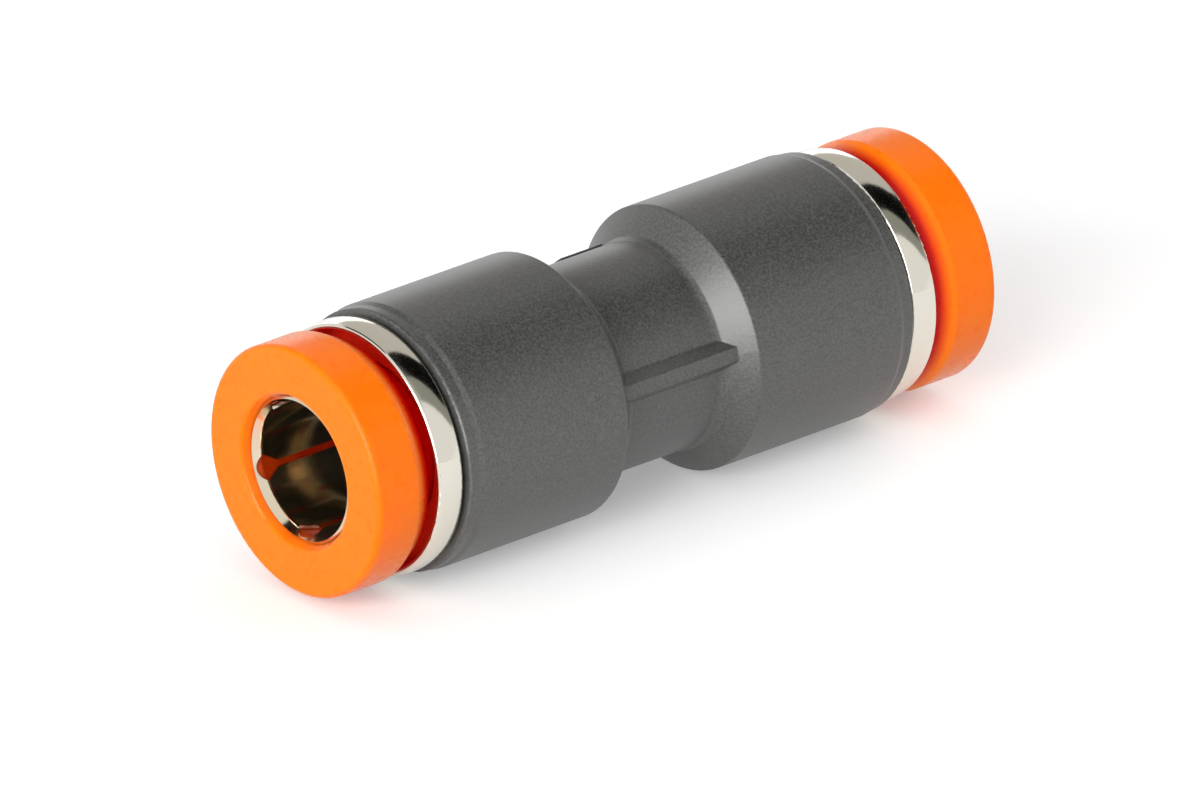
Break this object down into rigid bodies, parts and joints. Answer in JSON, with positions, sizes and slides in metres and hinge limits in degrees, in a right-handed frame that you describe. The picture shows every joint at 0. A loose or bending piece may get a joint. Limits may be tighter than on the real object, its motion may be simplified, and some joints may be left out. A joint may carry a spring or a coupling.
{
  "type": "straight push-in tube union",
  "caption": "Straight push-in union for small air tube: moulded grey barrel with a ribbed waist, bright guide rings, orange release buttons and slotted gripping sleeves.",
  "frame": {"origin": "centre of the lower release button's front face, on the bore axis", "axes": "+Z along the bore axis, out of port a; +X through the middle of one waist rib; +Y completes the right-handed frame"},
  "size_m": [0.0132, 0.0132, 0.0386],
  "materials": {
    "body_moulding": "fine matte, glass-filled moulding",
    "plated_ring": "turned and nickel plated, bright",
    "button_moulding": "smooth satin moulding",
    "strip_steel": "bright stamped strip",
    "collet_moulding": "natural moulding",
    "seal_rubber": "matte"
  },
  "bodies": {
    "housing": {"body": "body_moulding", "guide_ring_a": "plated_ring", "guide_ring_b": "plated_ring", "seal_a": "seal_rubber", "seal_b": "seal_rubber"},
    "release_set_a": {"release_button_a": "button_moulding", "chuck_a": "strip_steel", "collet_a": "collet_moulding"},
    "release_set_b": {"release_button_b": "button_moulding", "chuck_b": "strip_steel", "collet_b": "collet_moulding"}
  },
  "joints": [
    {"name": "release_a", "type": "slide", "parent": "housing", "child": "release_set_a", "axis": [0, 0, -1], "range_m": [0, 0.0007], "stiffness_N_per_m": 200, "springref_m": -0.002},
    {"name": "release_b", "type": "slide", "parent": "housing", "child": "release_set_b", "axis": [0, 0, 1], "range_m": [0, 0.0007], "stiffness_N_per_m": 200, "springref_m": -0.002}
  ]
}
